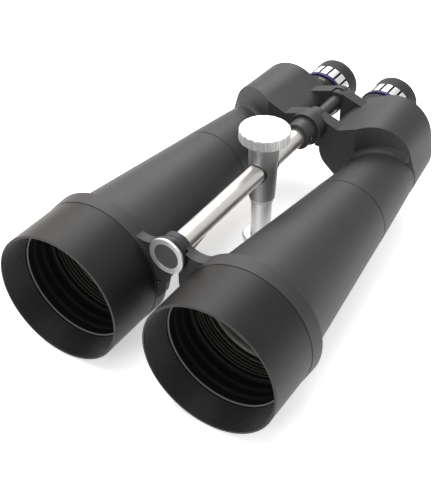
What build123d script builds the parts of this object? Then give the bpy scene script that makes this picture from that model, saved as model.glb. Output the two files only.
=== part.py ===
from build123d import *
import os
from math import cos, radians, sin, sqrt

os.makedirs("parts", exist_ok=True)

# Giant porro-prism binocular with 100 mm objectives on a sliding tripod post.
# Millimetres. The origin is the mouth of the tripod thread, in the middle of the foot's flat face.
# +Z is up, +Y runs along the sight lines from the objectives to the eyepieces, and the model is
# symmetric about X = 0. "left" and "right" are the user's own, so the left barrel is at +X.

# ---------------------------------------------------------------- driving dimensions
objective_spacing = 142.7  # between the two objective axes at rest
eyepiece_spacing = 66.4  # interpupillary distance at rest
foot_to_axis = 36.0  # the objective axes above the foot's face
hinge_rise = 41.1  # the centre bar above the objective axes
eyepiece_rise = 20.5  # the eyepiece axes above the objective axes
post_to_rim = 198.0  # the post behind the front rims

objective_x = objective_spacing / 2
eyepiece_x = eyepiece_spacing / 2
axis_z = foot_to_axis
hinge_z = axis_z + hinge_rise
eyepiece_z = axis_z + eyepiece_rise

# stations along Y, counted back from the front rims
rim = -post_to_rim
cell_front = rim + 25.0
cap_front = rim + 51.2
hood_back = rim + 53.0
cap_back = rim + 56.0
glass_front = rim + 57.2
glass_back = rim + 71.4
band_back = rim + 67.8
seam = rim + 223.9
sleeve_front = rim + 257.0
sleeve_back = rim + 272.0
housing_front = rim + 285.0
neck_end = rim + 311.0
shelf_front = rim + 318.0
housing_back = rim + 355.0
ring_front = rim + 368.2
ring_back = rim + 386.5
eyecup_back = rim + 404.7

# objective end
hood_radius = 58.7
hood_wall = 1.7
hood_throat_radius = 52.6
cell_radius = 54.2
cell_bore = 51.6
lens_radius = 50.5
aperture_radius = 50.0
band_front_radius = 59.1
band_back_radius = 59.9
slip = 0.1  # clearance of a part that slides into another one when they are assembled

# barrel
tube_front_radius = 52.8
tube_back_radius = 37.3
tube_bore_front = 50.3
spigot_radius = 34.9
spigot_bore = 33.2
spigot_length = 8.0
seam_groove = 0.7
baffle_stations = (rim + 138.0, rim + 210.0)
baffle_width = 3.0
baffle_thickness = 1.2

# centre line
bar_radius = 8.5
shaft_radius = 6.2
running_gap = 0.05
axial_gap = 0.1
hub_radius = 13.0
collar_radius = 15.8
cap_radius = 16.1
cap_window_radius = 11.2
cap_web = 2.0
sleeve_radius = 12.8
washer_thickness = 0.6

# front bridge
bridge_split = rim + 62.0  # between the right barrel's hub and the left barrel's
bridge_back = rim + 68.2
bridge_screw_radius = 1.6
shoulder_radius = 15.0  # the arms' thick shoulders stay clear of the other barrel's hub

# hinge knuckles at the prism housings
front_arm_back = housing_front + 13.0
rear_arm_front = rim + 335.0
rear_arm_back = rim + 347.0
arm_start = 5.0  # where a hinge arm starts, out from the centre line
arm_shoulder = 36.0
knuckle_clear = 0.8
collar_recess = 12.7
left_front_knuckle = (housing_front + 0.2, front_arm_back, 11.5)
right_front_knuckle = (sleeve_back + 0.2, housing_front, collar_radius)
left_rear_knuckle = (rear_arm_front + 0.1, rear_arm_front + 6.3, 9.5)
right_rear_knuckle = (rear_arm_front + 7.2, rear_arm_front + 13.0, 10.9)
shaft_back = rear_arm_front + 17.5
nut_radius = 9.0

# prism housing
housing_wall = 3.0
neck_back_radius = 31.0
neck_end_radius = 28.0
slant_start = 46.0  # the front face is square up to here and slants back beyond it
slant_end = 120.0
front_slant = 0.42
slant_wall = 3.25
cover_thickness = 3.0
shelf_thickness = 2.2
prism_half_length = 28.5
prism_half_width = 13.5
prism_depth = 23.0
clip_thickness = 0.8
clip_half_width = 4.0
light_path_radius = 12.5

# eyepieces
base_radius = 23.4
guide_radius = 21.5
ocular_radius = 20.5
ocular_bore = 17.0
ring_radius = 24.2
ring_core_radius = 23.0
ring_lip = 3.1
ring_neck_radius = 18.4
grip_count = 18
grip_gap_deg = 6.0
eyecup_rim_radius = 23.8
eyecup_wall = 3.2
eye_lens_radius = 11.5
base_spigot_radius = 18.5
cover_screw_radius = 1.5
cover_screw_head = 2.8
field_lens_radius = 15.0

# post and knob
foot_radius = 16.5
foot_height = 6.0
stub_radius = 7.0
bushing_radius = 5.0
thread_radius = 3.2  # a 1/4-20 UNC thread at its major diameter
thread_depth = 12.0
post_radius = 9.5
post_spigot_radius = 6.0
post_spigot_length = 12.0
head_bottom = 44.5
head_top = 104.0
head_bottom_radius = 11.7
head_top_radius = 13.5
head_flare_radius = 14.6
liner_radius = 9.4
liner_length = 23.0
screw_radius = 4.0
pad_height = 3.0
knob_radius = 22.3
knob_bottom = 104.4
knob_top = 116.7
knob_cover = 3.0
knob_hub_radius = 15.0
knob_flare = 2.4
knob_flutes = 60
flute_radius = 0.7
knob_notches = 20
notch_radius = 1.3

pieces = []


def finish(piece, node):
    """Label a finished sub-part and queue it for export."""
    piece.part.label = node
    pieces.append(piece)


def across(y):
    """The plane square to the sight lines at station y: local x is X and local y is Z."""
    return Plane(origin=(0, y, 0), x_dir=(1, 0, 0), z_dir=(0, -1, 0))


def turned(outline, centre_x, centre_z):
    """A piece turned about an axis along Y; outline holds (radius, y) points."""
    with BuildPart() as piece:
        with BuildSketch(Plane(origin=(centre_x, 0, centre_z))):
            with BuildLine():
                Polyline(outline, close=True)
            make_face()
        revolve(axis=Axis((centre_x, 0, centre_z), (0, 1, 0)))
    return piece


def turned_upright(outline):
    """A piece turned about the post's vertical axis; outline holds (radius, z) points."""
    with BuildPart() as piece:
        with BuildSketch(Plane.XZ):
            with BuildLine():
                Polyline(outline, close=True)
            make_face()
        revolve(axis=Axis.Z)
    return piece


def round_block(radius, centre_x, centre_z, front, back):
    """A plain round block along Y between two stations."""
    with BuildPart() as piece:
        with BuildSketch(across(back)):
            with Locations((centre_x, centre_z)):
                Circle(radius)
        extrude(amount=back - front)
    return piece.part


def cap_height(radius, bulge, at):
    """Height at radius `at` of a spherical cap that rises `bulge` over a disc of the given radius."""
    sphere = (radius**2 + bulge**2) / (2 * abs(bulge))
    height = sqrt(sphere**2 - at**2) - sphere + abs(bulge)
    return height if bulge > 0 else -height


def lens(radius, front_edge, back_edge, front_bulge, back_bulge, centre_x, centre_z):
    """A lens with spherical faces; a positive bulge stands out along +Y."""
    half = radius / 2
    front_middle = (half, front_edge + cap_height(radius, front_bulge, half))
    back_middle = (half, back_edge + cap_height(radius, back_bulge, half))
    front_pole = (0, front_edge + front_bulge)
    back_pole = (0, back_edge + back_bulge)
    with BuildPart() as piece:
        with BuildSketch(Plane(origin=(centre_x, 0, centre_z))):
            with BuildLine():
                Line(front_pole, back_pole)
                ThreePointArc(back_pole, back_middle, (radius, back_edge))
                Line((radius, back_edge), (radius, front_edge))
                ThreePointArc((radius, front_edge), front_middle, front_pole)
            make_face()
        revolve(axis=Axis((centre_x, 0, centre_z), (0, 1, 0)))
    return piece


# ---------------------------------------------------------------- tripod post
with BuildPart() as tripod_foot:
    with BuildSketch():
        Circle(foot_radius)
        Circle(stub_radius, mode=Mode.SUBTRACT)
    extrude(amount=foot_height)
    chamfer(tripod_foot.edges().filter_by(GeomType.CIRCLE).group_by(SortBy.RADIUS)[-1], 0.8)
finish(tripod_foot, "tripod_foot")

with BuildPart() as tripod_bushing:
    with BuildSketch():
        Circle(bushing_radius)
        Circle(thread_radius, mode=Mode.SUBTRACT)
    extrude(amount=thread_depth)
finish(tripod_bushing, "tripod_bushing")

lower_post = turned_upright(
    [
        (bushing_radius, 0),
        (stub_radius, 0),
        (stub_radius, foot_height),
        (post_radius - 0.3, foot_height),
        (post_radius, head_bottom - 2.4),
        (post_radius + 0.8, head_bottom - 1.6),
        (post_radius + 0.8, head_bottom),
        (post_spigot_radius, head_bottom),
        (post_spigot_radius, head_bottom + post_spigot_length),
        (0, head_bottom + post_spigot_length),
        (0, thread_depth),
        (bushing_radius, thread_depth),
    ]
)
finish(lower_post, "lower_post")

with BuildPart() as post_head:
    with BuildSketch(Plane.XZ):
        with BuildLine():
            Polyline(
                [
                    (0, head_bottom),
                    (head_bottom_radius - 1.4, head_bottom),
                    (head_bottom_radius, head_bottom + 3.0),
                    (head_top_radius, head_top - 4.0),
                    (head_flare_radius, head_top),
                    (0, head_top),
                ],
                close=True,
            )
        make_face()
    revolve(axis=Axis.Z)
    with BuildSketch(Plane.XY.offset(head_bottom)):
        Circle(post_spigot_radius)
    extrude(amount=post_spigot_length, mode=Mode.SUBTRACT)
    with BuildSketch(Plane.XY.offset(hinge_z)):
        Circle(screw_radius + running_gap)
    extrude(amount=head_top - hinge_z, mode=Mode.SUBTRACT)
    with BuildSketch(Plane.XZ):
        with Locations((0, hinge_z)):
            Circle(liner_radius + running_gap)
    extrude(amount=2 * head_top_radius, both=True, mode=Mode.SUBTRACT)
finish(post_head, "post_head")

# the nylon liner turns in the head when the instrument is levelled, and the bar slides through it
with BuildPart() as post_liner:
    with BuildSketch(Plane.XZ):
        with Locations((0, hinge_z)):
            Circle(liner_radius)
            Circle(bar_radius + running_gap, mode=Mode.SUBTRACT)
    extrude(amount=liner_length / 2, both=True)
    with BuildSketch(Plane.XY.offset(hinge_z)):
        SlotOverall(3.4 * screw_radius, 2.4 * screw_radius)
    extrude(amount=2 * liner_radius, mode=Mode.SUBTRACT)
finish(post_liner, "post_liner")

pad_bottom = hinge_z + bar_radius + running_gap
with BuildPart() as clamp_pad:
    with BuildSketch(Plane.XY.offset(pad_bottom)):
        Circle(screw_radius - 0.2)
    extrude(amount=pad_height)
    chamfer(clamp_pad.edges().group_by(Axis.Z)[0], 0.5)
finish(clamp_pad, "clamp_pad")

with BuildPart() as clamp_screw:
    with BuildSketch(Plane.XY.offset(pad_bottom + pad_height)):
        Circle(screw_radius)
    extrude(amount=knob_top - knob_cover - pad_bottom - pad_height)
finish(clamp_screw, "clamp_screw")

with BuildPart() as clamp_knob:
    with BuildSketch(Plane.XZ):
        with BuildLine():
            Polyline(
                [
                    (0, knob_bottom),
                    (knob_hub_radius, knob_bottom),
                    (knob_radius - 0.8, knob_bottom + knob_flare),
                    (knob_radius, knob_bottom + knob_flare + 0.8),
                    (knob_radius, knob_top - 0.8),
                    (knob_radius - 0.8, knob_top),
                    (0, knob_top),
                ],
                close=True,
            )
        make_face()
    revolve(axis=Axis.Z)
    with BuildSketch(Plane.XY.offset(knob_bottom)):
        Circle(screw_radius)
    extrude(amount=knob_top - knob_cover - knob_bottom, mode=Mode.SUBTRACT)
    with BuildSketch(Plane.XY.offset(knob_bottom)):
        with PolarLocations(knob_radius + 0.1, knob_flutes):
            Circle(flute_radius)
        with PolarLocations(knob_radius + 0.2, knob_notches):
            Circle(notch_radius)
    extrude(amount=knob_top - knob_bottom, mode=Mode.SUBTRACT)
finish(clamp_knob, "clamp_knob")

# ---------------------------------------------------------------- centre bar and hinge shaft
bar_back = sleeve_back - 4.0
centre_bar = turned(
    [
        (shaft_radius, cap_front + cap_web),
        (bar_radius, cap_front + cap_web),
        (bar_radius, bar_back),
        (shaft_radius, bar_back),
    ],
    0,
    hinge_z,
)
finish(centre_bar, "centre_bar")

cap_ring = turned(
    [
        (cap_window_radius, cap_front),
        (cap_radius - 0.6, cap_front),
        (cap_radius, cap_front + 0.6),
        (cap_radius, cap_back),
        (bar_radius, cap_back),
        (bar_radius, cap_front + cap_web),
        (cap_window_radius, cap_front + cap_web),
    ],
    0,
    hinge_z,
)
finish(cap_ring, "cap_ring")

with BuildPart() as cap_disc:
    add(round_block(cap_window_radius, 0, hinge_z, cap_front + 0.8, cap_front + cap_web))
finish(cap_disc, "cap_disc")

grub_y = (sleeve_front + bar_back) / 2
with BuildPart() as bar_sleeve:
    with BuildSketch(Plane(origin=(0, 0, hinge_z))):
        with BuildLine():
            Polyline(
                [
                    (bar_radius, sleeve_front),
                    (sleeve_radius - 0.8, sleeve_front),
                    (sleeve_radius, sleeve_front + 0.8),
                    (sleeve_radius, sleeve_back),
                    (shaft_radius, sleeve_back),
                    (shaft_radius, bar_back),
                    (bar_radius, bar_back),
                ],
                close=True,
            )
        make_face()
    revolve(axis=Axis((0, 0, hinge_z), (0, 1, 0)))
    with BuildSketch(Plane(origin=(0, grub_y, hinge_z), x_dir=(0, 1, 0), z_dir=(1, 0, 0))):
        Circle(2.0)
    extrude(amount=sleeve_radius, both=True, mode=Mode.SUBTRACT)
finish(bar_sleeve, "bar_sleeve")

# two grub screws lock the bar in the sleeve
with BuildPart() as sleeve_screws:
    for side in (-1, 1):
        with BuildSketch(
            Plane(origin=(side * bar_radius, grub_y, hinge_z), x_dir=(0, 1, 0), z_dir=(side, 0, 0))
        ):
            Circle(2.0)
            RegularPolygon(1.0, 6, mode=Mode.SUBTRACT)
        extrude(amount=sleeve_radius - bar_radius - 0.3)
finish(sleeve_screws, "sleeve_screws")

with BuildPart() as hinge_shaft:
    add(round_block(shaft_radius, 0, hinge_z, bar_back - 22.0, shaft_back - 1.5))
    chamfer(hinge_shaft.edges().sort_by(Axis.Y)[-1], 0.5)
finish(hinge_shaft, "hinge_shaft")

nut_front = right_rear_knuckle[1] + axial_gap
hinge_nut = turned(
    [
        (0, shaft_back - 1.5),
        (shaft_radius, shaft_back - 1.5),
        (shaft_radius, nut_front),
        (nut_radius, nut_front),
        (nut_radius, shaft_back - 1.0),
        (nut_radius - 1.0, shaft_back),
        (0, shaft_back),
    ],
    0,
    hinge_z,
)
finish(hinge_nut, "hinge_nut")


def washer(inner, outer, front, back):
    """A ring on the centre line between two stations."""
    with BuildPart() as piece:
        with BuildSketch(across(back)):
            with Locations((0, hinge_z)):
                Circle(outer)
                Circle(inner, mode=Mode.SUBTRACT)
        extrude(amount=back - front)
    return piece.part


# nylon washers between neighbouring knuckles
with BuildPart() as hinge_washers:
    for inner, outer, front in (
        (bar_radius, hub_radius - 0.5, bridge_split - washer_thickness / 2),
        (shaft_radius, 12.2, housing_front - washer_thickness + 0.05),
        (shaft_radius, 8.0, left_rear_knuckle[0] - axial_gap - washer_thickness),
        (shaft_radius, 9.3, left_rear_knuckle[1] + 0.15),
    ):
        add(washer(inner, outer, front, front + washer_thickness))
finish(hinge_washers, "hinge_washers")


# ---------------------------------------------------------------- sections that the barrels share
def housing_circles(sign, y, inset):
    """Centres and radii of the three lobes of the housing's section at station y."""
    t = (y - housing_front) / (housing_back - housing_front)
    arch = (sign * (61.8 - 3.3 * t), axis_z + 22.0 - 1.5 * t, 32.6 + 1.9 * t - inset)
    lobe = (sign * eyepiece_x, eyepiece_z, 23.2 - inset)
    neck = (sign * (objective_x - 3.0 * t), axis_z + 2.0 * t, neck_back_radius - 3.0 * t - inset)
    return (arch, lobe, neck)


def housing_block(sign, front, back, inset):
    """The housing's three-lobed section carried from one station to another."""
    with BuildPart() as piece:
        for y in (front, back):
            with BuildSketch(across(y)):
                for x, z, radius in housing_circles(sign, y, inset):
                    with Locations((x, z)):
                        Circle(radius)
                make_hull()
        loft(ruled=True)
    return piece.part


def front_of_slant(sign, start):
    """Everything in front of the slanted face that starts at station `start`."""
    run = slant_end - slant_start
    with BuildPart() as piece:
        with BuildSketch():
            with BuildLine():
                Polyline(
                    [
                        (sign * (slant_start - 1.0 / front_slant), start - 1.0),
                        (sign * slant_end, start - 1.0),
                        (sign * slant_end, start + front_slant * run),
                    ],
                    close=True,
                )
            make_face()
        extrude(amount=2 * hinge_z, both=True)
    return piece.part


def knuckle_room(other):
    """The space kept clear around the other housing's knuckle."""
    front = other[0] - knuckle_clear
    back = other[1] + knuckle_clear
    return round_block(other[2] + knuckle_clear, 0, hinge_z, front, back)


def hinge_arm(sign, front, back, knuckle, other, floor):
    """A housing's hinge arm: a web under a sloping top, its knuckle, and room for the other one's."""
    with BuildPart() as piece:
        with BuildSketch(across(back)):
            with BuildLine():
                Polyline(
                    [
                        (sign * arm_start, axis_z + 50.8),
                        (sign * arm_shoulder, axis_z + 40.9),
                        (sign * 42.0, axis_z + 30.0),
                        (sign * 30.0, floor),
                        (sign * 5.6, floor),
                    ],
                    close=True,
                )
            make_face()
        extrude(amount=back - front)
        add(knuckle_room(other), mode=Mode.SUBTRACT)
        add(round_block(knuckle[2], 0, hinge_z, knuckle[0], knuckle[1]))
        add(
            round_block(
                shaft_radius + running_gap,
                0,
                hinge_z,
                min(front, knuckle[0]),
                max(back, knuckle[1]),
            ),
            mode=Mode.SUBTRACT,
        )
    return piece.part


def bridge_outline(sign):
    """The front bridge's arm in the XZ plane, from inside the band's ring to the hub."""
    ring_radius_inside = (cell_radius + band_front_radius) / 2

    def on_ring(angle_deg):
        angle = radians(angle_deg)
        x = objective_x + ring_radius_inside * cos(angle)
        return (sign * x, axis_z + ring_radius_inside * sin(angle))

    crown = (sign * 36.0, axis_z + 46.6)
    hub_side = (sign * 6.5, hinge_z + 11.0)
    with BuildSketch() as outline:
        with BuildLine():
            ThreePointArc(crown, (sign * 21.0, axis_z + 43.3), hub_side)
            Polyline(
                [
                    hub_side,
                    (sign * 5.0, hinge_z - 12.0),
                    (sign * 3.5, axis_z + 20.0),
                    (sign * 3.5, axis_z + 9.0),
                    (sign * 5.8, axis_z - 1.5),
                    on_ring(199.5),
                ]
            )
            ThreePointArc(on_ring(199.5), on_ring(164.0), on_ring(128.5))
            Line(on_ring(128.5), crown)
        make_face()
    return outline.sketch


# ---------------------------------------------------------------- the two barrels
def wall_bore(y):
    """Inside radius of the objective tube at station y."""
    t = (y - glass_back) / (seam - glass_back)
    return tube_bore_front + (spigot_bore - tube_bore_front) * t


def build_objective(side, x):
    """Dew hood, lens cell, doublet, and tapered tube with its baffles."""
    dew_hood = turned(
        [
            (hood_radius - hood_wall, rim),
            (hood_radius - 0.3, rim),
            (hood_radius, rim + 0.3),
            (hood_radius, hood_back),
            (cell_radius + slip, hood_back),
            (cell_radius + slip, cell_front),
            (hood_throat_radius, cell_front),
        ],
        x,
        axis_z,
    )
    finish(dew_hood, f"{side}_dew_hood")

    objective_cell = turned(
        [
            (cell_bore, cell_front),
            (cell_radius, cell_front),
            (cell_radius, rim + 62.0),
            (cell_bore - slip, rim + 62.0),
            (cell_bore - slip, glass_back + 1.6),
            (aperture_radius - 0.8, glass_back + 1.6),
            (aperture_radius - 0.8, glass_back),
            (lens_radius + slip, glass_back),
            (lens_radius + slip, glass_front),
            (cell_bore, glass_front),
        ],
        x,
        axis_z,
    )
    finish(objective_cell, f"{side}_objective_cell")

    retaining_ring = turned(
        [
            (aperture_radius + 0.8, glass_front - 3.2),
            (cell_bore, glass_front - 3.2),
            (cell_bore, glass_front - 0.2),
            (aperture_radius, glass_front - 0.2),
            (aperture_radius, glass_front - 2.0),
        ],
        x,
        axis_z,
    )
    finish(retaining_ring, f"{side}_retaining_ring")

    glass_joint = glass_front + 2.6
    crown_lens = lens(lens_radius, glass_front, glass_joint, -5.4, 7.7, x, axis_z)
    finish(crown_lens, f"{side}_crown_lens")
    flint_lens = lens(lens_radius, glass_joint, glass_back - slip, 7.7, 1.4, x, axis_z)
    finish(flint_lens, f"{side}_flint_lens")

    objective_tube = turned(
        [
            (cell_bore, rim + 62.2),
            (tube_front_radius, rim + 62.2),
            (tube_front_radius, band_back),
            (tube_back_radius, seam - seam_groove),
            (tube_back_radius - seam_groove, seam),
            (spigot_radius, seam),
            (spigot_radius, seam + spigot_length),
            (spigot_bore, seam + spigot_length),
            (spigot_bore, seam),
            (tube_bore_front, glass_back + 1.8),
            (cell_bore, glass_back + 1.8),
        ],
        x,
        axis_z,
    )
    finish(objective_tube, f"{side}_objective_tube")

    with BuildPart() as tube_baffles:
        for y in baffle_stations:
            back = y + baffle_thickness
            with BuildSketch(Plane(origin=(x, 0, axis_z))):
                with BuildLine():
                    Polyline(
                        [
                            (wall_bore(y) - baffle_width, y),
                            (wall_bore(y), y),
                            (wall_bore(back), back),
                            (wall_bore(back) - baffle_width, back),
                        ],
                        close=True,
                    )
                make_face()
        revolve(axis=Axis((x, 0, axis_z), (0, 1, 0)))
    finish(tube_baffles, f"{side}_tube_baffles")


def build_bridge(side, sign, x):
    """The band that clamps hood, cell and tube, with its arm to the centre bar."""
    outline = bridge_outline(sign)
    if sign < 0:
        plate = (cap_back + axial_gap, bridge_split - 0.4)
        shoulder = (plate[1], rim + 64.5)
    else:
        plate = (bridge_split + 0.4, bridge_back)
        shoulder = (rim + 57.5, plate[0])
    with BuildPart() as front_bridge:
        with BuildSketch(Plane(origin=(x, 0, axis_z))):
            with BuildLine():
                Polyline(
                    [
                        (cell_radius + slip, hood_back),
                        (band_front_radius - 0.5, hood_back),
                        (band_front_radius, hood_back + 0.5),
                        (band_back_radius, band_back - 0.6),
                        (band_back_radius - 0.6, band_back),
                        (tube_front_radius, band_back),
                        (tube_front_radius, rim + 62.0),
                        (cell_radius + slip, rim + 62.0),
                    ],
                    close=True,
                )
            make_face()
        revolve(axis=Axis((x, 0, axis_z), (0, 1, 0)))
        with BuildSketch(across(plate[1])):
            add(outline)
            with Locations((0, hinge_z)):
                Circle(hub_radius)
        extrude(amount=plate[1] - plate[0])
        with BuildSketch(across(shoulder[1])):
            add(outline)
            with Locations((0, hinge_z)):
                Circle(shoulder_radius, mode=Mode.SUBTRACT)
            with Locations((0, axis_z + 30.0)):
                Rectangle(200, 100, align=(Align.CENTER, Align.MAX), mode=Mode.SUBTRACT)
        extrude(amount=shoulder[1] - shoulder[0])
        add(
            round_block(bar_radius + running_gap, 0, hinge_z, plate[0], plate[1]),
            mode=Mode.SUBTRACT,
        )
        with BuildSketch(across(plate[1])):
            with Locations((sign * 11.0, axis_z + 8.0)):
                Circle(bridge_screw_radius)
        extrude(amount=plate[1] - plate[0], mode=Mode.SUBTRACT)
    finish(front_bridge, f"{side}_front_bridge")


def build_housing(side, sign, x):
    """Prism housing with its neck and hinge arms, closed by the rear cover."""
    if sign > 0:
        front_pair = (left_front_knuckle, right_front_knuckle)
        rear_pair = (left_rear_knuckle, right_rear_knuckle)
    else:
        front_pair = (right_front_knuckle, left_front_knuckle)
        rear_pair = (right_rear_knuckle, left_rear_knuckle)
    cavity_front = housing_front + housing_wall
    cover_front = housing_back - cover_thickness
    with BuildPart() as cavity:
        add(housing_block(sign, cavity_front, housing_back, housing_wall))
        add(front_of_slant(sign, housing_front + slant_wall), mode=Mode.SUBTRACT)
    with BuildPart() as prism_housing:
        add(housing_block(sign, housing_front, housing_back, 0.0))
        add(front_of_slant(sign, housing_front), mode=Mode.SUBTRACT)
        add(knuckle_room(front_pair[1]), mode=Mode.SUBTRACT)
        with BuildSketch(Plane(origin=(x, 0, axis_z))):
            with BuildLine():
                Polyline(
                    [
                        (0, seam),
                        (tube_back_radius - seam_groove, seam),
                        (tube_back_radius, seam + seam_groove),
                        (neck_back_radius, housing_front),
                        (neck_end_radius, neck_end),
                        (0, neck_end),
                    ],
                    close=True,
                )
            make_face()
        revolve(axis=Axis((x, 0, axis_z), (0, 1, 0)))
        add(hinge_arm(sign, housing_front, front_arm_back, *front_pair, axis_z + 19.5))
        add(hinge_arm(sign, rear_arm_front, rear_arm_back, *rear_pair, axis_z + 22.0))
        recess_front = housing_front - washer_thickness - axial_gap
        add(
            round_block(collar_recess, 0, hinge_z, recess_front, housing_front),
            mode=Mode.SUBTRACT,
        )
        add(cavity.part, mode=Mode.SUBTRACT)
        with BuildSketch(Plane(origin=(x, 0, axis_z))):
            with BuildLine():
                Polyline(
                    [
                        (0, seam),
                        (spigot_radius, seam),
                        (spigot_radius, seam + spigot_length),
                        (spigot_bore, seam + spigot_length),
                        (neck_back_radius - housing_wall, housing_front),
                        (neck_end_radius - housing_wall, neck_end),
                        (neck_end_radius - 2 * housing_wall, neck_end + housing_wall),
                        (0, neck_end + housing_wall),
                    ],
                    close=True,
                )
            make_face()
        revolve(axis=Axis((x, 0, axis_z), (0, 1, 0)), mode=Mode.SUBTRACT)
    finish(prism_housing, f"{side}_prism_housing")

    screw_points = [
        (sign * 52.0, axis_z - 6.0),
        (sign * 48.0, axis_z + 44.0),
        (sign * 79.0, axis_z + 37.0),
        (sign * 80.0, axis_z - 14.0),
    ]
    with BuildPart() as rear_cover:
        add(housing_block(sign, cover_front, housing_back, housing_wall + slip))
        with BuildSketch(across(housing_back)):
            with Locations((sign * eyepiece_x, eyepiece_z)):
                Circle(base_spigot_radius)
        extrude(amount=cover_thickness, mode=Mode.SUBTRACT)
        with BuildSketch(across(housing_back)):
            with Locations(*screw_points):
                Circle(cover_screw_radius)
        extrude(amount=cover_thickness, mode=Mode.SUBTRACT)
    finish(rear_cover, f"{side}_rear_cover")

    with BuildPart() as cover_screws:
        with BuildSketch(across(housing_back)):
            with Locations(*screw_points):
                Circle(cover_screw_radius)
        extrude(amount=cover_thickness)
        with BuildSketch(across(housing_back + 1.6)):
            with Locations(*screw_points):
                Circle(cover_screw_head)
        extrude(amount=1.6)
        with BuildSketch(across(housing_back + 1.6)):
            with Locations(*screw_points):
                Rectangle(2 * cover_screw_head - 1.4, 0.8)
                Rectangle(0.8, 2 * cover_screw_head - 1.4)
        extrude(amount=0.9, mode=Mode.SUBTRACT)
    finish(cover_screws, f"{side}_cover_screws")


def prism_plane(sign, centre_x, centre_z, turn):
    """A plane whose local x runs along a prism's length and local y along the sight line."""
    angle = radians(turn)
    along = (sign * cos(angle), 0, sin(angle))
    return Plane(
        origin=(sign * centre_x, 0, centre_z),
        x_dir=along,
        z_dir=(-along[2], 0, along[0]),
    )


def porro_prism(plane, base, apex):
    """A right-angle prism with its roof edge ground flat, standing on the shelf."""
    with BuildPart() as piece:
        with BuildSketch(plane):
            with BuildLine():
                Polyline(
                    [
                        (-prism_half_length, base),
                        (prism_half_length, base),
                        (prism_half_length - prism_depth, apex),
                        (prism_depth - prism_half_length, apex),
                    ],
                    close=True,
                )
            make_face()
        extrude(amount=prism_half_width, both=True)
    return piece


def prism_clip(plane, base, apex):
    """A spring strap over a prism's ground edge, with a leg down each side to the shelf."""
    outer = apex + (clip_thickness if apex > base else -clip_thickness)
    with BuildPart() as piece:
        with BuildSketch(plane):
            with Locations((0, (base + outer) / 2)):
                Rectangle(2 * clip_half_width, abs(outer - base))
        extrude(amount=prism_half_width + clip_thickness, both=True)
        with BuildSketch(plane):
            with Locations((0, (base + apex) / 2)):
                Rectangle(4 * clip_half_width, abs(apex - base))
        extrude(amount=prism_half_width, both=True, mode=Mode.SUBTRACT)
    return piece.part


def build_prisms(side, sign):
    """The two prisms on their shelf, held by spring clips."""
    shelf_back = shelf_front + shelf_thickness
    rear_plane = prism_plane(sign, 67.0, axis_z + 14.7, 106.7)
    front_plane = prism_plane(sign, 48.0, axis_z + 24.9, 196.7)
    front_apex = shelf_front - prism_depth
    rear_apex = shelf_back + prism_depth

    with BuildPart() as prism_shelf:
        add(housing_block(sign, shelf_front, shelf_back, housing_wall + slip))
        with BuildSketch(across(shelf_back)):
            with Locations(
                (sign * objective_x, axis_z),
                (sign * 62.6, axis_z + 29.3),
                (sign * eyepiece_x, eyepiece_z),
            ):
                Circle(light_path_radius)
        extrude(amount=shelf_thickness, mode=Mode.SUBTRACT)
    finish(prism_shelf, f"{side}_prism_shelf")

    finish(porro_prism(front_plane, shelf_front, front_apex), f"{side}_front_prism")
    finish(porro_prism(rear_plane, shelf_back, rear_apex), f"{side}_rear_prism")

    with BuildPart() as prism_clips:
        add(prism_clip(front_plane, shelf_front, front_apex))
        add(prism_clip(rear_plane, shelf_back, rear_apex))
    finish(prism_clips, f"{side}_prism_clips")


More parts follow.
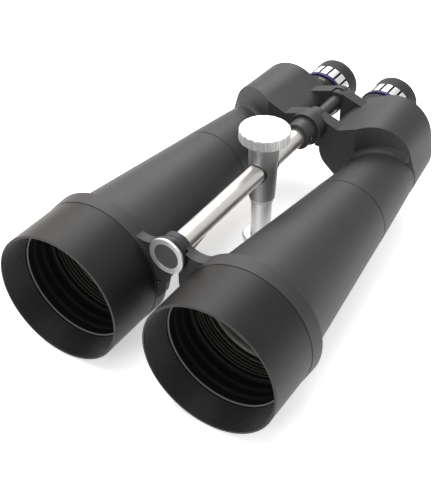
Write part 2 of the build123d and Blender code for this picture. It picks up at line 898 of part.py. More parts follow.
def build_eyepiece(side, x):
    """Fixed base, sliding ocular barrel with its lenses, and the focus ring with grips and eyecup."""
    eyepiece_base = turned(
        [
            (ocular_bore - 1.0, housing_back - cover_thickness),
            (base_spigot_radius, housing_back - cover_thickness),
            (base_spigot_radius, housing_back),
            (base_radius, housing_back),
            (base_radius, ring_front - 2.8),
            (base_radius - 0.6, ring_front - 2.2),
            (guide_radius, ring_front - 2.2),
            (guide_radius, ring_back - 4.1),
            (ocular_radius + running_gap, ring_back - 4.1),
            (ocular_radius + running_gap, housing_back + 2.0),
            (ocular_bore - 1.0, housing_back + 2.0),
        ],
        x,
        eyepiece_z,
    )
    finish(eyepiece_base, f"{side}_eyepiece_base")

    flange_front = ring_back - 2.2
    eye_lens_front = ring_back + 4.5
    nose_back = ring_back + 11.5
    ocular_barrel = turned(
        [
            (field_lens_radius - 1.0, housing_back + 4.0),
            (ocular_radius, housing_back + 4.0),
            (ocular_radius, flange_front - axial_gap),
            (ring_neck_radius, flange_front - axial_gap),
            (ring_neck_radius, ring_back + 2.4),
            (eye_lens_radius + 3.0, nose_back),
            (eye_lens_radius - 0.5, nose_back),
            (eye_lens_radius - 0.5, nose_back - 1.2),
            (eye_lens_radius, nose_back - 1.2),
            (eye_lens_radius, eye_lens_front - 0.4),
            (eye_lens_radius - 1.0, eye_lens_front - 0.4),
            (eye_lens_radius - 1.0, eye_lens_front - 2.0),
            (field_lens_radius, eye_lens_front - 8.0),
            (field_lens_radius, housing_back + 5.2),
            (field_lens_radius - 1.0, housing_back + 5.2),
        ],
        x,
        eyepiece_z,
    )
    finish(ocular_barrel, f"{side}_ocular_barrel")

    field_lens = lens(
        field_lens_radius,
        housing_back + 5.2 + slip,
        housing_back + 9.2,
        -0.6,
        3.2,
        x,
        eyepiece_z,
    )
    finish(field_lens, f"{side}_field_lens")
    eye_lens = lens(
        eye_lens_radius,
        eye_lens_front,
        nose_back - 1.2 - slip,
        -2.0,
        0.6,
        x,
        eyepiece_z,
    )
    finish(eye_lens, f"{side}_eye_lens")

    focus_ring = turned(
        [
            (guide_radius + slip, ring_front),
            (ring_radius - 0.4, ring_front),
            (ring_radius, ring_front + 0.4),
            (ring_radius, ring_front + ring_lip),
            (ring_core_radius, ring_front + ring_lip),
            (ring_core_radius, ring_back),
            (ring_neck_radius + running_gap, ring_back),
            (ring_neck_radius + running_gap, flange_front),
            (guide_radius + slip, flange_front),
        ],
        x,
        eyepiece_z,
    )
    finish(focus_ring, f"{side}_focus_ring")

    grip_length = ring_back - ring_front - ring_lip - 0.4
    with BuildPart() as grip_blocks:
        with BuildSketch(across(ring_back - 0.2)):
            with Locations((x, eyepiece_z)):
                Circle(ring_radius + 0.3)
                Circle(ring_core_radius, mode=Mode.SUBTRACT)
                with PolarLocations(0, grip_count):
                    Rectangle(
                        2 * ring_radius,
                        2 * ring_core_radius * sin(radians(grip_gap_deg / 2)),
                        align=(Align.MIN, Align.CENTER),
                        mode=Mode.SUBTRACT,
                    )
        extrude(amount=grip_length)
    finish(grip_blocks, f"{side}_grip_blocks")

    eyecup = turned(
        [
            (ring_neck_radius + 0.3, ring_back),
            (ring_radius, ring_back),
            (eyecup_rim_radius, eyecup_back - 1.2),
            (eyecup_rim_radius - 1.2, eyecup_back),
            (eyecup_rim_radius - eyecup_wall + 0.8, eyecup_back),
            (eyecup_rim_radius - eyecup_wall, eyecup_back - 0.8),
            (eyecup_rim_radius - eyecup_wall, ring_back + 2.2),
            (ring_neck_radius + 0.3, ring_back + 2.2),
        ],
        x,
        eyepiece_z,
    )
    finish(eyecup, f"{side}_eyecup")


for side, sign in (("left", 1), ("right", -1)):
    build_objective(side, sign * objective_x)
    build_bridge(side, sign, sign * objective_x)
    build_housing(side, sign, sign * objective_x)
    build_prisms(side, sign)
    build_eyepiece(side, sign * eyepiece_x)

for piece in pieces:
    export_step(piece.part, f"parts/{piece.part.label}.step")
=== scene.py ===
from math import cos, radians, sin, tau

import bmesh
import bpy
from mathutils import Matrix, Vector


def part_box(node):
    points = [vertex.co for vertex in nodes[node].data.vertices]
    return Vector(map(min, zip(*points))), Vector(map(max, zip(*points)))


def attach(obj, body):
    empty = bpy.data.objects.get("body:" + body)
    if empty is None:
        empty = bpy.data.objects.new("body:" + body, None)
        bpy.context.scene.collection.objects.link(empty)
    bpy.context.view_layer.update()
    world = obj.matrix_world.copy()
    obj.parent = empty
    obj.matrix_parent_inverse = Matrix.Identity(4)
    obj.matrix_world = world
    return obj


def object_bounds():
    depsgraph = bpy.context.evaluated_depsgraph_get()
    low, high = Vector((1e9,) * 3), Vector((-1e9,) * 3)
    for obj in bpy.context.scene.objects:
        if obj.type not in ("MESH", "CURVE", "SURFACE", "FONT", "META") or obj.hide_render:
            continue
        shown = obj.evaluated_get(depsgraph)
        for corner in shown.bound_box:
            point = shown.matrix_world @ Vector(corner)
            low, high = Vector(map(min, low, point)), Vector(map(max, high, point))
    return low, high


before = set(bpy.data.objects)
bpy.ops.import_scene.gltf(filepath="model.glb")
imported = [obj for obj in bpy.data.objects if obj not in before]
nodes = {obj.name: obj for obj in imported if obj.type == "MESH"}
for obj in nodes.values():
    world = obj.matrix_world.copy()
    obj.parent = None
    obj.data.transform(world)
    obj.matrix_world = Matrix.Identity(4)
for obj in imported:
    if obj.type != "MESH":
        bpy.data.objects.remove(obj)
cad_box = [list(corner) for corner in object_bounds()]
scene = bpy.context.scene

# Lengths are in metres. A station is a place along Y, and RIM is the hoods' front rim.
MM = 0.001
SIDES = (("left", 1), ("right", -1))
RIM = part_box("left_dew_hood")[0].y
OBJECTIVE_X = 0.07135
OBJECTIVE_Z = 0.036
EYEPIECE_X = 0.0332
EYEPIECE_Z = 0.0565
HINGE_Z = 0.0771

# Stations and pitches of the colour changes within one node's material
SEAMS = (RIM + 0.0530, RIM + 0.2239)
CAP_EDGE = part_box("cap_ring")[0].y + 1.5 * MM
LIP_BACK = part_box("left_focus_ring")[0].y + 3.1 * MM
CELL_EDGE = RIM + 0.0253
RIB_FRONT = RIM + 0.0580
RIB_PITCH = 0.0031
STEP_PITCH = 0.0098

# The flint lens is cemented to the crown lens in front of this station
CEMENT = RIM + 0.0695

# Radii of the lens faces
CROWN_SPHERE = 0.239
EYE_SPHERE = 0.11
FIELD_SPHERE = 0.05


# -------- material helpers
class Shader:
    """A material's node tree, with short calls to add nodes and links."""

    def __init__(self, name):
        self.material = bpy.data.materials.new(name)
        self.material.use_nodes = True
        self.tree = self.material.node_tree
        self.bsdf = self.tree.nodes["Principled BSDF"]
        self.coords = self.add("ShaderNodeTexCoord").outputs["Object"]

    def add(self, kind, inputs=None, **settings):
        node = self.tree.nodes.new(kind)
        for key, value in settings.items():
            setattr(node, key, value)
        for key, value in (inputs or {}).items():
            self.put(node.inputs[key], value)
        return node

    def put(self, socket, value):
        if isinstance(value, bpy.types.NodeSocket):
            self.tree.links.new(value, socket)
        else:
            socket.default_value = value

    def set(self, **inputs):
        names = {
            "color": "Base Color",
            "rough": "Roughness",
            "metal": "Metallic",
            "normal": "Normal",
            "coat": "Coat Weight",
            "coat_rough": "Coat Roughness",
            "specular": "Specular IOR Level",
            "ior": "IOR",
            "alpha": "Alpha",
        }
        for key, value in inputs.items():
            self.put(self.bsdf.inputs[names[key]], value)

    def math(self, operation, a, b=0.0):
        node = self.add("ShaderNodeMath", operation=operation)
        self.put(node.inputs[0], a)
        self.put(node.inputs[1], b)
        return node.outputs[0]

    def axes(self, vector=None):
        """A vector's x, y and z; the object's own coordinates if none is given."""
        return self.add("ShaderNodeSeparateXYZ", {"Vector": vector or self.coords}).outputs

    def turn(self, vector, old, new):
        """A normal carried between the world and the object."""
        return self.add(
            "ShaderNodeVectorTransform",
            {"Vector": vector},
            vector_type="NORMAL",
            convert_from=old,
            convert_to=new,
        ).outputs[0]

    def noise(self, scale, detail=3.0, rough=0.5):
        return self.add(
            "ShaderNodeTexNoise",
            {"Vector": self.coords, "Scale": scale, "Detail": detail, "Roughness": rough},
        ).outputs["Fac"]

    def range(self, value, low, high, out_low, out_high):
        return self.add(
            "ShaderNodeMapRange",
            {
                "Value": value,
                "From Min": low,
                "From Max": high,
                "To Min": out_low,
                "To Max": out_high,
            },
        ).outputs[0]

    def middle(self, value, out_low, out_high):
        """Stretches a value's middle part, 0.3 to 0.7, to a range."""
        return self.range(value, 0.3, 0.7, out_low, out_high)

    def mix(self, factor, a, b):
        node = self.add("ShaderNodeMix", data_type="RGBA")
        self.put(node.inputs["Factor"], factor)
        self.put(node.inputs["A"], a)
        self.put(node.inputs["B"], b)
        return node.outputs["Result"]

    def bump(self, height, strength, distance, normal=None):
        inputs = {"Height": height, "Strength": strength, "Distance": distance}
        if normal is not None:
            inputs["Normal"] = normal
        return self.add("ShaderNodeBump", inputs).outputs[0]

    def rounded(self, radius):
        """A normal that shades every edge as if it had this radius."""
        return self.add("ShaderNodeBevel", {"Radius": radius}, samples=4).outputs[0]

    def edges(self, radius):
        """A mask that is 1 on edges and 0 on plain faces."""
        normal = self.add("ShaderNodeNewGeometry").outputs["Normal"]
        dot = self.add(
            "ShaderNodeVectorMath",
            {0: normal, 1: self.rounded(radius)},
            operation="DOT_PRODUCT",
        ).outputs["Value"]
        return self.range(self.math("SUBTRACT", 1.0, dot), 0.02, 0.3, 0.0, 1.0)


def grey(value, red=0.0, blue=0.0):
    """A linear colour close to grey, with its red and blue moved from neutral."""
    return (value + red, value, value + blue, 1.0)


def powder_coat(name, base, light, rough, grain, specular=0.4):
    """A fine powder coat with a painted highlight along its edges, and the seams dark."""
    m = Shader(name)
    fine = m.noise(grain, 2.0, 0.6)
    speck = m.range(fine, 0.35, 0.75, 0.0, 1.0)
    bright = tuple(1.5 * channel for channel in light[:3]) + (1.0,)
    color = m.mix(m.middle(m.noise(26.0, 4.0, 0.6), 0.0, 1.0), base, light)
    color = m.mix(m.math("MULTIPLY", speck, 0.35), color, bright)
    # painted highlight: edges are lightened where they would catch the light
    color = m.mix(m.math("MULTIPLY", m.edges(0.0009), 0.55), color, grey(0.22, 0.0, 0.01))
    along = m.axes()[1]
    for station in SEAMS:
        near = m.math("ABSOLUTE", m.math("SUBTRACT", along, station))
        color = m.mix(m.range(near, 0.0003, 0.0008, 1.0, 0.0), color, grey(0.002))
    m.set(
        color=color,
        specular=specular,
        rough=m.middle(fine, rough - 0.06, rough + 0.08),
        normal=m.bump(fine, 0.35, 0.00012, m.rounded(0.0005)),
    )
    return m.material


def turned_metal(name, color, dark, rough, axis_z=None, line_scale=2600.0):
    """Bright metal with a lathe's fine rings, about the Z axis or an axis along Y at axis_z."""
    m = Shader(name)
    x, y, z = m.axes()
    along, across = (z, y) if axis_z is None else (y, m.math("SUBTRACT", z, axis_z))
    square = m.math("ADD", m.math("MULTIPLY", x, x), m.math("MULTIPLY", across, across))
    lines = m.add(
        "ShaderNodeTexNoise",
        {
            "W": m.math("ADD", m.math("SQRT", square), along),
            "Scale": line_scale,
            "Detail": 2.0,
        },
        noise_dimensions="1D",
    ).outputs["Fac"]
    m.set(
        color=m.mix(m.middle(lines, 0.0, 1.0), color, dark),
        metal=1.0,
        rough=m.middle(m.noise(55.0, 4.0, 0.6), rough - 0.05, rough + 0.07),
        normal=m.bump(lines, 0.18, 0.00006, m.rounded(0.0004)),
    )
    return m.material


def plain_detail(name, base, light, rough, grain, metal=0.0, bump=0.2, specular=0.5):
    """A plain finish with fine grain, uneven colour, and softened edges."""
    m = Shader(name)
    fine = m.noise(grain, 3.0, 0.6)
    m.set(
        color=m.mix(m.middle(m.noise(60.0, 3.0, 0.6), 0.0, 1.0), base, light),
        metal=metal,
        specular=specular,
        rough=m.middle(fine, rough - 0.05, rough + 0.08),
        normal=m.bump(fine, bump, 0.0001, m.rounded(0.0003)),
    )
    return m.material


def lens_normal(m, axis_x, axis_z, sphere):
    """A smooth normal for a lens face, so that reflections don't show the mesh's triangles."""
    x, _, z = m.axes()
    outward = m.add("ShaderNodeNewGeometry").outputs["True Normal"]
    facing = m.math("SIGN", m.axes(m.turn(outward, "WORLD", "OBJECT"))[1])
    across = m.math("SUBTRACT", x, m.math("MULTIPLY", m.math("SIGN", x), axis_x))
    normal = m.add(
        "ShaderNodeCombineXYZ",
        {
            0: m.math("DIVIDE", across, sphere),
            1: facing,
            2: m.math("DIVIDE", m.math("SUBTRACT", z, axis_z), sphere),
        },
    ).outputs[0]
    return m.turn(normal, "OBJECT", "WORLD")


def glass(name, tint, alpha, rough, clear_to=None, face=None):
    """Coated glass with faint cleaning marks.

    In front of station clear_to the glass is cemented to the next lens and isn't drawn.
    A lens gives its face: the axis's x and z and the radius of its sphere.
    """
    m = Shader(name)
    if face is not None:
        normal = lens_normal(m, *face)
        m.set(normal=normal)
        m.put(m.bsdf.inputs["Coat Normal"], normal)
    if clear_to is not None:
        alpha = m.range(m.axes()[1], clear_to, clear_to + 0.0005, 0.0, alpha)
    m.set(
        color=tint,
        rough=m.middle(m.noise(90.0, 4.0, 0.6), rough, rough + 0.05),
        ior=1.6,
        alpha=alpha,
        coat=1.0,
        coat_rough=0.02,
    )
    return m.material


def cell_finish():
    """Matt black with dark steps, a painted highlight along one edge, and olive rib stripes
    seen through the glass, with painted shade between them.
    """
    m = Shader("cell_anodising")
    along = m.axes()[1]
    # olive stripes stand for the rib crests; the black between them is painted shade
    wave = m.math("SINE", m.math("MULTIPLY", along, tau / RIB_PITCH))
    ribs_with_painted_shade = m.math(
        "MULTIPLY",
        m.range(wave, -0.2, 0.5, 0.0, 1.0),
        m.range(along, RIB_FRONT, RIB_FRONT + 0.0002, 0.0, 1.0),
    )
    fine = m.noise(2500.0, 3.0, 0.6)
    black = m.mix(m.noise(60.0), grey(0.004), grey(0.006))
    steps = m.math("SINE", m.math("MULTIPLY", along, tau / STEP_PITCH))
    black = m.mix(m.middle(steps, 0.0, 1.0), black, grey(0.017, 0.0, 0.001))
    # painted highlight: a thin bright line at CELL_EDGE, where that edge would catch the light
    edge = m.math("ABSOLUTE", m.math("SUBTRACT", along, CELL_EDGE))
    black = m.mix(m.range(edge, 0.0003, 0.0007, 1.0, 0.0), black, grey(0.16))
    m.set(
        color=m.mix(ribs_with_painted_shade, black, (0.100, 0.104, 0.084, 1.0)),
        specular=0.12,
        rough=m.middle(fine, 0.55, 0.68),
        normal=m.bump(fine, 0.2, 0.0001, m.rounded(0.0003)),
    )
    return m.material


def cap_ring_finish():
    """A bright turned face, with the rim painted black behind its front edge."""
    m = Shader("cap_ring_finish")
    behind = m.range(m.axes()[1], CAP_EDGE - 0.0001, CAP_EDGE + 0.0001, 0.0, 1.0)
    fine = m.noise(2200.0, 3.0, 0.6)
    bright = m.mix(m.middle(fine, 0.0, 1.0), grey(0.90), grey(0.80))
    m.set(
        color=m.mix(behind, bright, grey(0.012)),
        metal=m.range(behind, 0.0, 1.0, 1.0, 0.0),
        specular=0.3,
        rough=m.middle(m.noise(55.0, 4.0), 0.34, 0.46),
        normal=m.bump(fine, 0.2, 0.0001, m.rounded(0.0003)),
    )
    return m.material


def focus_ring_finish():
    """Violet anodising on the ring's front lip, black between the grip blocks behind it."""
    m = Shader("focus_ring_anodising")
    behind = m.range(m.axes()[1], LIP_BACK - 0.0001, LIP_BACK + 0.0001, 0.0, 1.0)
    fine = m.noise(2000.0, 3.0, 0.6)
    lip = m.mix(m.noise(60.0), (0.030, 0.027, 0.095, 1.0), (0.042, 0.037, 0.125, 1.0))
    m.set(
        color=m.mix(behind, lip, grey(0.006)),
        metal=m.range(behind, 0.0, 1.0, 0.5, 0.0),
        specular=0.2,
        rough=m.middle(fine, 0.36, 0.48),
        normal=m.bump(fine, 0.2, 0.0001, m.rounded(0.0003)),
    )
    return m.material


# -------- materials
BARREL = powder_coat(
    "barrel_powder_coat", grey(0.018, 0.0, 0.0016), grey(0.024, 0.0, 0.002), 0.52, 1500.0, 0.38
)
HOOD = powder_coat(
    "hood_satin_paint", grey(0.0085, 0.0006), grey(0.011, 0.0006), 0.44, 2400.0, 0.24
)
HINGE = powder_coat(
    "hinge_paint", grey(0.022, 0.0, 0.001), grey(0.028, 0.0, 0.002), 0.46, 1800.0
)
BLACK = plain_detail(
    "black_anodised", grey(0.005), grey(0.008), 0.48, 2500.0, specular=0.22
)
CELL = cell_finish()
RUBBER = plain_detail(
    "eyecup_rubber",
    grey(0.014, 0.0005),
    grey(0.019, 0.0005),
    0.62,
    1200.0,
    bump=0.4,
    specular=0.3,
)
NYLON = plain_detail("black_nylon", grey(0.012), grey(0.02), 0.5, 900.0)
STEEL = plain_detail("screw_steel", grey(0.42), grey(0.5), 0.35, 1800.0, metal=1.0)
CAP = plain_detail(
    "cap_disc_paint", grey(0.050, 0.004), grey(0.060, 0.004), 0.5, 1500.0, bump=0.5
)
MARK = plain_detail("index_paint", grey(0.90), grey(0.96), 0.5, 1500.0)
VIOLET = focus_ring_finish()
KNOB = turned_metal("knob_aluminium", grey(0.90), grey(0.80), 0.42)
HEAD = turned_metal(
    "head_aluminium", grey(0.50, 0.0, 0.008), grey(0.42, 0.0, 0.008), 0.50
)
POST = turned_metal("post_aluminium", grey(0.84, 0.01), grey(0.76, 0.01), 0.46)
BAR = turned_metal(
    "chromed_bar", grey(0.80, 0.03, -0.03), grey(0.72, 0.03, -0.03), 0.36, HINGE_Z, 1500.0
)
RING = cap_ring_finish()
GRIP = turned_metal(
    "grip_aluminium", grey(0.86, 0.01), grey(0.78, 0.01), 0.34, EYEPIECE_Z
)
CROWN = glass(
    "coated_crown",
    (0.006, 0.012, 0.008, 1.0),
    0.10,
    0.02,
    face=(OBJECTIVE_X, OBJECTIVE_Z, CROWN_SPHERE),
)
EYE_GLASS = glass(
    "coated_eye_lens",
    (0.006, 0.010, 0.012, 1.0),
    0.45,
    0.02,
    face=(EYEPIECE_X, EYEPIECE_Z, EYE_SPHERE),
)
SCREW = plain_detail(
    "blackened_screws", grey(0.035), grey(0.05), 0.42, 1800.0, metal=0.6
)
INNER_GLASS = glass(
    "inner_glass", (0.01, 0.018, 0.015, 1.0), 0.05, 0.02, clear_to=CEMENT
)
FIELD_GLASS = glass(
    "field_glass",
    (0.004, 0.006, 0.006, 1.0),
    0.9,
    0.02,
    face=(EYEPIECE_X, EYEPIECE_Z, FIELD_SPHERE),
)
PRISM = glass("prism_glass", (0.02, 0.03, 0.035, 1.0), 0.3, 0.03)
GROOVES = plain_detail(
    "groove_anodising", grey(0.004), grey(0.006), 0.34, 2500.0, specular=0.35
)
RIDGE = plain_detail(
    "ridge_paint",
    (0.16, 0.165, 0.135, 1.0),
    (0.22, 0.225, 0.185, 1.0),
    0.34,
    1800.0,
    specular=0.7,
)

CENTRE = {
    "tripod_foot": POST,
    "tripod_bushing": STEEL,
    "lower_post": POST,
    "post_head": HEAD,
    "post_liner": NYLON,
    "clamp_pad": NYLON,
    "clamp_screw": STEEL,
    "clamp_knob": KNOB,
    "centre_bar": BAR,
    "cap_ring": RING,
    "cap_disc": CAP,
    "bar_sleeve": HINGE,
    "sleeve_screws": STEEL,
    "hinge_shaft": HINGE,
    "hinge_nut": HINGE,
    "hinge_washers": NYLON,
}
SIDED = {
    "dew_hood": HOOD,
    "objective_cell": CELL,
    "retaining_ring": CELL,
    "crown_lens": CROWN,
    "flint_lens": INNER_GLASS,
    "objective_tube": BARREL,
    "tube_baffles": BLACK,
    "front_bridge": BARREL,
    "prism_housing": BARREL,
    "rear_cover": BARREL,
    "cover_screws": SCREW,
    "prism_shelf": BLACK,
    "front_prism": PRISM,
    "rear_prism": PRISM,
    "prism_clips": STEEL,
    "eyepiece_base": BLACK,
    "ocular_barrel": BLACK,
    "field_lens": FIELD_GLASS,
    "eye_lens": EYE_GLASS,
    "focus_ring": VIOLET,
    "grip_blocks": GRIP,
    "eyecup": RUBBER,
}


def dress(node, material):
    mesh = nodes[node].data
    mesh.materials.clear()
    mesh.materials.append(material)


for node, material in CENTRE.items():
    dress(node, material)
for side, _ in SIDES:
    for node, material in SIDED.items():
        dress(f"{side}_{node}", material)


# -------- turned details inside the barrels
def closed_mesh(name, rings, material, body, ends=False):
    """Skins equal rings of points, each joined to the next.

    The last ring joins the first, unless both ends are capped.
    """
    size = len(rings[0])
    count = len(rings)
    points = [point for ring in rings for point in ring]
    faces = []
    for i in range(count - 1 if ends else count):
        here = i * size
        there = (i + 1) % count * size
        for j in range(size):
            k = (j + 1) % size
            faces.append((here + j, here + k, there + k, there + j))
    if ends:
        faces.append(tuple(range(size)))
        faces.append(tuple(range((count - 1) * size, count * size)))
    mesh = bpy.data.meshes.new(name)
    mesh.from_pydata(points, [], faces)
    shape = bmesh.new()
    shape.from_mesh(mesh)
    bmesh.ops.recalc_face_normals(shape, faces=shape.faces)
    shape.to_mesh(mesh)
    shape.free()
    mesh.materials.append(material)
    piece = bpy.data.objects.new(name, mesh)
    scene.collection.objects.link(piece)
    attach(piece, body)
    return piece


def lathe(name, profile, x, z, material, body, steps=144):
    """A closed turned piece about an axis along Y; profile holds (radius, y) points."""
    rings = []
    for i in range(steps):
        angle = tau * i / steps
        rings.append([(x + r * cos(angle), y, z + r * sin(angle)) for r, y in profile])
    return closed_mesh(name, rings, material, body)


GROOVE_START = 1.2 * MM
GROOVE_END = 23.6 * MM
GROOVE_PITCH = 1.12 * MM
GROOVE_DEPTH = 0.32 * MM
HOOD_MOUTH_RADIUS = 57.0 * MM
HOOD_THROAT_RADIUS = 52.6 * MM
HOOD_THROAT = 25.0 * MM
RIDGE_START = 76.0 * MM
RIDGE_END = 133.0 * MM
RIDGE_PITCH = 7.1 * MM
RIDGE_DEPTH = 1.3 * MM
TUBE_BORE_FRONT = 50.3 * MM
TUBE_BORE_BACK = 33.2 * MM
TUBE_FRONT = 71.4 * MM
TUBE_BACK = 223.9 * MM
GROOVE_EMBED = 0.2 * MM
RIDGE_EMBED = 0.3 * MM
# One tooth's corners, as shares of the pitch and of the height
TOOTH_ROOT = 0.12
TOOTH = ((0.0, TOOTH_ROOT), (0.2, 1.0), (0.55, 1.0), (0.75, TOOTH_ROOT))


def hood_inside(depth):
    """Radius of the hood's inside at a depth behind its rim."""
    return HOOD_MOUTH_RADIUS + (HOOD_THROAT_RADIUS - HOOD_MOUTH_RADIUS) * depth / HOOD_THROAT


def tube_inside(depth):
    """Radius of the objective tube's inside at a depth behind the hood's rim."""
    part = (depth - TUBE_FRONT) / (TUBE_BACK - TUBE_FRONT)
    return TUBE_BORE_FRONT + (TUBE_BORE_BACK - TUBE_BORE_FRONT) * part


def saw(start, end, pitch, height, inside, embed):
    """A profile of fine teeth standing on a cone, closed behind the surface they stand on."""
    profile = []
    depth = start
    while depth + pitch <= end:
        for share, rise in TOOTH:
            at = depth + share * pitch
            profile.append((inside(at) - rise * height, RIM + at))
        depth += pitch
    profile.append((inside(depth) - TOOTH_ROOT * height, RIM + depth))
    profile.append((inside(depth) + embed, RIM + depth))
    profile.append((inside(start) + embed, RIM + start))
    return profile


GROOVE_PROFILE = saw(
    GROOVE_START, GROOVE_END, GROOVE_PITCH, GROOVE_DEPTH, hood_inside, GROOVE_EMBED
)
RIDGE_PROFILE = saw(
    RIDGE_START, RIDGE_END, RIDGE_PITCH, RIDGE_DEPTH, tube_inside, RIDGE_EMBED
)

for side, sign in SIDES:
    for piece, profile, material in (
        ("hood_grooves", GROOVE_PROFILE, GROOVES),
        ("tube_ridges", RIDGE_PROFILE, RIDGE),
    ):
        lathe(
            f"{side}_{piece}",
            profile,
            sign * OBJECTIVE_X,
            OBJECTIVE_Z,
            material,
            f"{side}_barrel",
        )


# -------- bead where the neck meets the housing
FACE = RIM + 285.0 * MM
SLANT_START = 46.0 * MM
SLANT = 0.42
NECK_RADIUS = 31.0 * MM
NECK_TAPER = 0.085
BEAD = 4.6 * MM
BEAD_LEAST = 0.15 * MM
BEAD_LENGTH = 1.25  # of its width
BEAD_EMBED = 0.5 * MM
BEAD_OFFSET = 0.02 * MM
# Degrees around the neck, from the outer side upwards
BEAD_FROM = 44.0
BEAD_TO = 231.0
BEAD_RISE = 9.0
BEAD_FALL = 45.0

BEAD_STEPS = 72
BEAD_ARC = 6


def face_station(x):
    """Station of the housing's front face at a distance x from the centre line."""
    return FACE + SLANT * max(0.0, x - SLANT_START)


def bead_width(degrees):
    """The bead's width, growing from one end and falling away to the side wall at the other."""
    rise = min(1.0, (degrees - BEAD_FROM) / BEAD_RISE)
    smooth = BEAD * rise * rise * (3.0 - 2.0 * rise)
    fall = BEAD
    if degrees > BEAD_TO - BEAD_FALL:
        fall = NECK_RADIUS * (1.0 / cos(radians(BEAD_TO + 1.0 - degrees)) - 1.0)
    return max(BEAD_LEAST, min(smooth, fall))


for side, sign in SIDES:
    rings = []
    for i in range(BEAD_STEPS + 1):
        degrees = BEAD_FROM + (BEAD_TO - BEAD_FROM) * i / BEAD_STEPS
        width = bead_width(degrees)
        length = BEAD_LENGTH * width
        c, s = cos(radians(degrees)), sin(radians(degrees))
        reach = face_station(OBJECTIVE_X + NECK_RADIUS * c) - FACE
        neck = NECK_RADIUS - NECK_TAPER * reach
        outline = [(neck - BEAD_EMBED, BEAD_EMBED), (neck - BEAD_EMBED, -length)]
        for j in range(BEAD_ARC + 1):
            turn = radians(90.0 * j / BEAD_ARC)
            radius = neck + width * (1.0 - cos(turn)) + BEAD_OFFSET
            outline.append((radius, -length * (1.0 - sin(turn)) - BEAD_OFFSET))
        outline.append((neck + width, BEAD_EMBED))
        ring = []
        for radius, step in outline:
            x = OBJECTIVE_X + radius * c
            ring.append((sign * x, face_station(x) + step, OBJECTIVE_Z + radius * s))
        rings.append(ring)
    closed_mesh(
        f"{side}_neck_bead", rings, BARREL, f"{side}_barrel", ends=True
    )


# -------- index marks on the eyepiece bases
BASE_RADIUS = 23.4 * MM
MARK_STATION = RIM + 362.0 * MM
MARK_ANGLES = (75.5, 81.0, 86.5)  # degrees around the eyepiece, from +X upwards
MARK_RADIUS = 0.55 * MM
MARK_STEPS = 12
# Share of the mark's radius, and height over the base in millimetres
MARK_RINGS = ((1.0, -0.12), (1.0, 0.04), (0.7, 0.09), (0.3, 0.11))
ALONG = Vector((0.0, 1.0, 0.0))

for side, sign in SIDES:
    axis = Vector((sign * EYEPIECE_X, MARK_STATION, EYEPIECE_Z))
    for number, degrees in enumerate(MARK_ANGLES, 1):
        out = Vector((cos(radians(degrees)), 0.0, sin(radians(degrees))))
        aside = Vector((-out.z, 0.0, out.x))
        middle = axis + BASE_RADIUS * out
        rings = []
        for share, height in MARK_RINGS:
            ring = []
            for i in range(MARK_STEPS):
                turn = tau * i / MARK_STEPS
                spread = share * MARK_RADIUS * (cos(turn) * aside + sin(turn) * ALONG)
                ring.append(tuple(middle + spread + height * MM * out))
            rings.append(ring)
        closed_mesh(
            f"{side}_index_mark_{number}",
            rings,
            MARK,
            f"{side}_barrel",
            ends=True,
        )


# -------- camera, floor and light
CAMERA_PLACE = (0.34167, -0.60997, 0.54794)
CAMERA_TURN = (32.46, 38.77, 0.56)  # azimuth, pitch and roll, in degrees
CAMERA_LENS = 70.1
CAMERA_SENSOR = 36.0
FLOOR_HALF = 40.0
FLOOR_GAP = 0.5 * MM
FLOOR_GLOW = 0.5
WORLD_STRENGTH = 0.72
WHITE = (1.0, 1.0, 1.0, 1.0)


def look(azimuth, pitch, roll):
    """A camera's rotation in degrees: azimuth from +Y towards -X, pitch downwards, roll."""
    a, p, r = radians(azimuth), radians(pitch), radians(roll)
    forward = Vector((-sin(a) * cos(p), cos(a) * cos(p), -sin(p)))
    right = Vector((cos(a), sin(a), 0.0))
    up = right.cross(forward)
    tilted_right = right * cos(r) + up * sin(r)
    tilted_up = up * cos(r) - right * sin(r)
    return Matrix((tilted_right, tilted_up, -forward)).transposed()


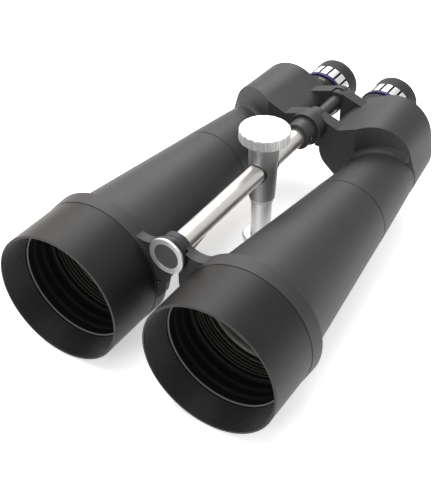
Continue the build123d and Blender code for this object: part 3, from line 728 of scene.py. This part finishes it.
camera_data = bpy.data.cameras.new("camera")
camera_data.lens = CAMERA_LENS
camera_data.sensor_width = CAMERA_SENSOR
camera_data.clip_start = 0.01
camera = bpy.data.objects.new("camera", camera_data)
camera.matrix_world = Matrix.Translation(CAMERA_PLACE) @ look(*CAMERA_TURN).to_4x4()
scene.collection.objects.link(camera)
scene.camera = camera

floor_mesh = bpy.data.meshes.new("floor")
floor_z = cad_box[0][2] - FLOOR_GAP
floor_corners = ((-1, -1), (1, -1), (1, 1), (-1, 1))
floor_points = [(x * FLOOR_HALF, y * FLOOR_HALF, floor_z) for x, y in floor_corners]
floor_mesh.from_pydata(floor_points, [], [(0, 1, 2, 3)])
floor = bpy.data.objects.new("floor", floor_mesh)
scene.collection.objects.link(floor)
paper = Shader("pale_paper")
paper.set(
    color=paper.mix(paper.noise(3.0), grey(0.90), grey(0.93)),
    rough=0.9,
    normal=paper.bump(paper.noise(300.0), 0.05, 0.0002),
)
paper.put(paper.bsdf.inputs["Emission Color"], WHITE)
paper.put(paper.bsdf.inputs["Emission Strength"], FLOOR_GLOW)
floor_mesh.materials.append(paper.material)

world = bpy.data.worlds.new("studio")
world.use_nodes = True
background = world.node_tree.nodes["Background"].inputs
background["Color"].default_value = WHITE
background["Strength"].default_value = WORLD_STRENGTH
scene.world = world


LIGHT_TARGET = Vector((0.0, 0.0, 0.04))


def softbox(name, place, size, strength, color=(1.0, 1.0, 1.0)):
    """A rectangular light that faces the object."""
    light = bpy.data.lights.new(name, "AREA")
    light.shape = "RECTANGLE"
    light.size, light.size_y = size
    light.energy = strength
    light.color = color
    lamp = bpy.data.objects.new(name, light)
    lamp.location = place
    aim = LIGHT_TARGET - Vector(place)
    lamp.rotation_euler = aim.to_track_quat("-Z", "Y").to_euler()
    scene.collection.objects.link(lamp)


softbox("back_softbox", (-0.9, 1.3, 1.5), (1.6, 1.2), 30.0)
softbox("top_softbox", (-0.2, -0.2, 1.8), (1.4, 1.4), 22.0)
softbox("warm_card", (-0.75, 0.05, 0.45), (0.5, 0.5), 2.2, (1.0, 0.82, 0.66))
softbox("front_softbox", (0.10, -1.20, 0.75), (0.5, 0.4), 3.0)

scene.view_settings.view_transform = "Standard"
